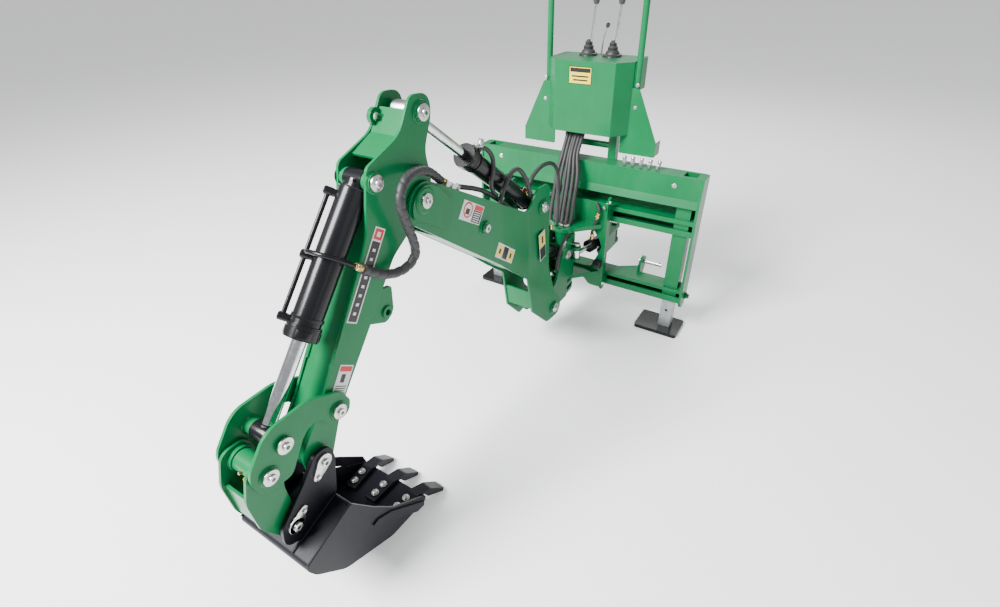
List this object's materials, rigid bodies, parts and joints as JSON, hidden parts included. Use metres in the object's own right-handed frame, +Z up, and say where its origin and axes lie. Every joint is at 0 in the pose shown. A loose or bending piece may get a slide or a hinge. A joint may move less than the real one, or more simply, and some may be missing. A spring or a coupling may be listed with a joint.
{
  "type": "tractor backhoe attachment",
  "caption": "Three-point-hitch backhoe with side-shift carriage, swing post, hydraulic boom, dipper and bucket linkage, drop legs and a levered control tower",
  "frame": {"origin": "centre of the top-link pin hole, on the machine's centre plane", "axes": "+X is the machine's right as seen from the tractor's seat facing rearwards turned about, +Y points forward to the tractor, +Z up"},
  "size_m": [1.244, 2.23, 1.664],
  "materials": {
    "green_paint": "gloss green enamel",
    "black_paint": "gloss black enamel",
    "bucket_paint": "satin blue-black enamel",
    "chrome": "polished hard chrome",
    "zinc": "zinc plated steel",
    "galvanized": "dull galvanized steel",
    "rubber": "matt black rubber",
    "knob": "black moulded plastic",
    "valve": "black painted casting",
    "block": "plain machined block"
  },
  "bodies": {
    "frame": {"main_frame": "green_paint", "hitch_pin_left": "zinc", "hitch_pin_right": "zinc", "tower_stand": "green_paint", "control_tower": "green_paint", "guard_hoop": "green_paint", "control_valve": "valve", "lever_left": "chrome", "lever_right": "chrome", "knob_left": "knob", "knob_right": "knob", "boot_left": "rubber", "boot_right": "rubber"},
    "carriage": {"carriage": "green_paint", "swing_pin": "zinc"},
    "swing_post": {"swing_post": "green_paint", "boom_base_pin": "zinc"},
    "boom": {"boom": "green_paint", "boom_manifold": "block", "foot_pin": "zinc", "dipper_base_pin": "zinc", "elbow_pin": "zinc"},
    "boom_barrel": {"boom_barrel": "black_paint"},
    "boom_rod": {"boom_rod": "chrome"},
    "dipper": {"dipper": "green_paint", "bucket_base_pin": "zinc"},
    "dipper_barrel": {"dipper_barrel": "black_paint"},
    "dipper_rod": {"dipper_rod": "chrome"},
    "bucket_barrel": {"bucket_barrel": "black_paint"},
    "bucket_rod": {"bucket_rod": "chrome"},
    "rocker": {"rocker_left": "green_paint", "rocker_right": "green_paint", "rocker_pin": "zinc", "link_pin": "zinc"},
    "link": {"link": "green_paint"},
    "bucket": {"bucket": "bucket_paint", "bucket_pin": "zinc", "tooth_left": "bucket_paint", "tooth_middle": "bucket_paint", "tooth_right": "bucket_paint"},
    "swing_barrel_left": {"swing_barrel_left": "black_paint"},
    "swing_rod_left": {"swing_rod_left": "chrome"},
    "swing_barrel_right": {"swing_barrel_right": "black_paint"},
    "swing_rod_right": {"swing_rod_right": "chrome"},
    "leg_left": {"leg_left": "galvanized", "pad_left": "black_paint"},
    "leg_right": {"leg_right": "galvanized", "pad_right": "black_paint"}
  },
  "joints": [
    {"name": "carriage_slide", "type": "slide", "parent": "frame", "child": "carriage", "axis": [1, 0, 0], "range_m": [-0.28, 0.28]},
    {"name": "swing", "type": "hinge", "parent": "carriage", "child": "swing_post", "pos_m": [0, -0.3, -0.36], "axis": [0, 0, 1], "range_deg": [-55, 55]},
    {"name": "boom_lift", "type": "hinge", "parent": "swing_post", "child": "boom", "pos_m": [0, -0.57, -0.515], "axis": [-1, 0, 0], "range_deg": [-66, 32]},
    {"name": "dipper_swing", "type": "hinge", "parent": "boom", "child": "dipper", "pos_m": [0, -1.412, 0.343], "axis": [1, 0, 0], "range_deg": [-62, 50]},
    {"name": "bucket_curl", "type": "hinge", "parent": "dipper", "child": "bucket", "pos_m": [0, -1.956, -0.242], "axis": [1, 0, 0], "range_deg": [-110, 25]},
    {"name": "rocker_turn", "type": "hinge", "parent": "dipper", "child": "rocker", "pos_m": [0, -1.866, -0.123], "axis": [1, 0, 0], "range_deg": [-74.75, 17.38]},
    {"name": "link_turn", "type": "hinge", "parent": "rocker", "child": "link", "pos_m": [0, -2.104, -0.151], "axis": [1, 0, 0], "range_deg": [-11.12, 47.25]},
    {"name": "boom_barrel_tilt", "type": "hinge", "parent": "swing_post", "child": "boom_barrel", "pos_m": [0, -0.38, -0.32], "axis": [-1, 0, 0], "range_deg": [-57.59, 28.18]},
    {"name": "boom_rod_slide", "type": "slide", "parent": "boom_barrel", "child": "boom_rod", "axis": [0, -0.8507, 0.5257], "range_m": [-0.1401, 0.2885]},
    {"name": "dipper_barrel_tilt", "type": "hinge", "parent": "boom", "child": "dipper_barrel", "pos_m": [0, -0.685, 0.055], "axis": [1, 0, 0], "range_deg": [-6.66, 5.47]},
    {"name": "dipper_rod_slide", "type": "slide", "parent": "dipper_barrel", "child": "dipper_rod", "axis": [0, -0.7923, 0.6102], "range_m": [-0.2411, 0.1945]},
    {"name": "bucket_barrel_tilt", "type": "hinge", "parent": "dipper", "child": "bucket_barrel", "pos_m": [0, -1.578, 0.447], "axis": [1, 0, 0], "range_deg": [-0.61, 0.99]},
    {"name": "bucket_rod_slide", "type": "slide", "parent": "bucket_barrel", "child": "bucket_rod", "axis": [0, -0.6532, -0.7572], "range_m": [-0.2118, 0.0485]},
    {"name": "swing_tilt_right", "type": "hinge", "parent": "carriage", "child": "swing_barrel_right", "pos_m": [0.15, 0, -0.33], "axis": [0, 0, 1], "range_deg": [-1.77, 1.77]},
    {"name": "swing_rod_slide_right", "type": "slide", "parent": "swing_barrel_right", "child": "swing_rod_right", "axis": [-0.1984, -0.9801, 0], "range_m": [-0.0738, 0.0738]},
    {"name": "swing_tilt_left", "type": "hinge", "parent": "carriage", "child": "swing_barrel_left", "pos_m": [-0.15, 0, -0.33], "axis": [0, 0, 1], "range_deg": [-1.77, 1.77]},
    {"name": "swing_rod_slide_left", "type": "slide", "parent": "swing_barrel_left", "child": "swing_rod_left", "axis": [0.1984, -0.9801, 0], "range_m": [-0.0738, 0.0738]},
    {"name": "leg_slide_left", "type": "slide", "parent": "frame", "child": "leg_left", "axis": [0, 0, 1], "range_m": [-0.32, 0.13]},
    {"name": "leg_slide_right", "type": "slide", "parent": "frame", "child": "leg_right", "axis": [0, 0, 1], "range_m": [-0.32, 0.13]}
  ],
  "couplings": [
    {"joint": "rocker_turn", "follows": "bucket_curl", "ratio": 0.675},
    {"joint": "link_turn", "follows": "bucket_curl", "ratio": -0.425},
    {"joint": "boom_barrel_tilt", "follows": "boom_lift", "ratio": 0.865},
    {"joint": "boom_rod_slide", "follows": "boom_lift", "m_per_rad": -0.25},
    {"joint": "dipper_barrel_tilt", "follows": "dipper_swing", "ratio": 0.0994},
    {"joint": "dipper_rod_slide", "follows": "dipper_swing", "m_per_rad": 0.22232},
    {"joint": "bucket_barrel_tilt", "follows": "bucket_curl", "ratio": -0.0045},
    {"joint": "bucket_rod_slide", "follows": "bucket_curl", "m_per_rad": 0.11005},
    {"joint": "swing_tilt_right", "follows": "swing", "ratio": 0.0231},
    {"joint": "swing_rod_slide_right", "follows": "swing", "m_per_rad": -0.07634},
    {"joint": "swing_tilt_left", "follows": "swing", "ratio": 0.0231},
    {"joint": "swing_rod_slide_left", "follows": "swing", "m_per_rad": 0.07634}
  ]
}
